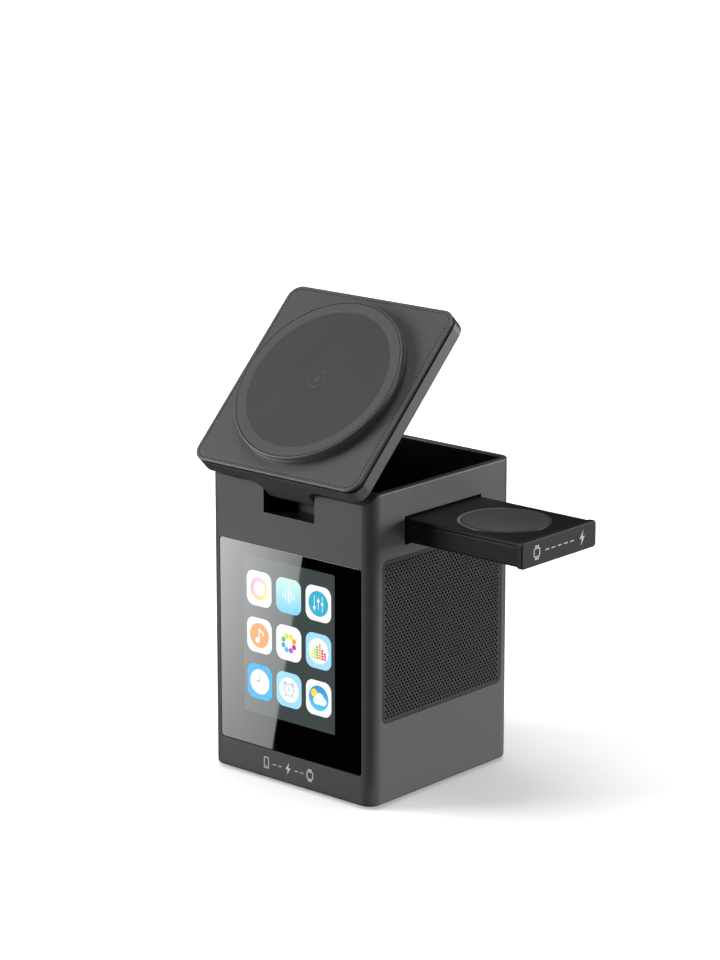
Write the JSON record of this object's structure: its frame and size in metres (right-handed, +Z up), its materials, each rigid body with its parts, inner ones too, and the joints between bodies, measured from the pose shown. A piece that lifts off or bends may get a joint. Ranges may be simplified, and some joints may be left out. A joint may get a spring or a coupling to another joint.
{
  "type": "desktop wireless charging station",
  "caption": "Square tower with touch display, side speaker, tilting round-disc phone charging pad, glossy earbud deck and slide-out watch charging arm.",
  "frame": {"origin": "centre of the foot mat's underside, on the table", "axes": "+Z up, -Y out of the display, +X along the watch arm as it slides out"},
  "size_m": [0.117, 0.0787, 0.1562],
  "materials": {
    "housing_grey": "satin dark grey moulding",
    "arm_black": "fine matt black moulding",
    "deck_black": "polished black",
    "inner_plastic": "plain black moulding",
    "leather_grey": "grained grey skin with stitching",
    "silicone_dark": "soft matt silicone",
    "cover_glass": "black-printed cover glass",
    "lcd": "lit display",
    "grille_metal": "powder-coated dark grey",
    "acoustic_cloth": "fine black weave",
    "steel": "bright steel",
    "copper": "enamelled copper wire",
    "ferrite": "pressed ferrite",
    "magnet": "nickel-plated magnet",
    "board": "solder mask green",
    "chips": "black epoxy",
    "glue": "black adhesive foam",
    "ribbon": "amber film",
    "cone_paper": "pressed black pulp"
  },
  "bodies": {
    "tower": {"housing": "housing_grey", "bottom_cover": "inner_plastic", "foot_mat": "silicone_dark", "base_screws": "steel", "top_deck": "deck_black", "earbud_coil": "copper", "earbud_ferrite": "ferrite", "screen_glass": "cover_glass", "screen_adhesive": "glue", "lcd_panel": "lcd", "lcd_frame": "steel", "display_ribbon": "ribbon", "speaker_grille": "grille_metal", "grille_cloth": "acoustic_cloth", "speaker_frame": "inner_plastic", "speaker_surround": "silicone_dark", "speaker_magnet": "magnet", "speaker_screws": "steel", "main_board": "board", "board_chips": "chips", "board_screws": "steel", "usb_c_port": "steel", "power_switch": "chips", "arm_guide": "inner_plastic", "arm_stop_pin": "steel", "arm_friction_pads": "acoustic_cloth", "guide_screws": "steel", "hinge_pin": "steel", "hinge_washers": "steel"},
    "speaker_driver": {"speaker_cone": "cone_paper", "voice_coil": "copper", "dust_cap": "cone_paper"},
    "phone_pad": {"pad_shell": "housing_grey", "pad_frame": "inner_plastic", "pad_cover": "leather_grey", "pad_disc": "leather_grey", "disc_face": "silicone_dark", "coil_tray": "inner_plastic", "phone_magnets": "magnet", "phone_ferrite": "ferrite", "phone_coil": "copper", "pad_board": "board", "pad_chips": "chips", "pad_screws": "steel"},
    "watch_arm": {"arm_tray": "arm_black", "arm_cover": "arm_black", "arm_end_plate": "housing_grey", "watch_puck": "silicone_dark", "puck_ring": "steel", "watch_coil": "copper", "watch_magnet": "magnet", "watch_ferrite": "ferrite", "arm_board": "board", "arm_screws": "steel"},
    "power_key": {"power_button": "housing_grey"}
  },
  "joints": [
    {"name": "pad_tilt", "type": "hinge", "parent": "tower", "child": "phone_pad", "pos_m": [0, -0.0304, 0.0998], "axis": [1, 0, 0], "range_deg": [-45, 30]},
    {"name": "watch_arm_slide", "type": "slide", "parent": "tower", "child": "watch_arm", "axis": [1, 0, 0], "range_m": [-0.047, 0]},
    {"name": "power_button_press", "type": "slide", "parent": "tower", "child": "power_key", "axis": [0, -1, 0], "range_m": [0, 0.0005], "stiffness_N_per_m": 1500},
    {"name": "speaker_cone_stroke", "type": "slide", "parent": "tower", "child": "speaker_driver", "axis": [1, 0, 0], "range_m": [-0.001, 0.001], "stiffness_N_per_m": 1500}
  ]
}
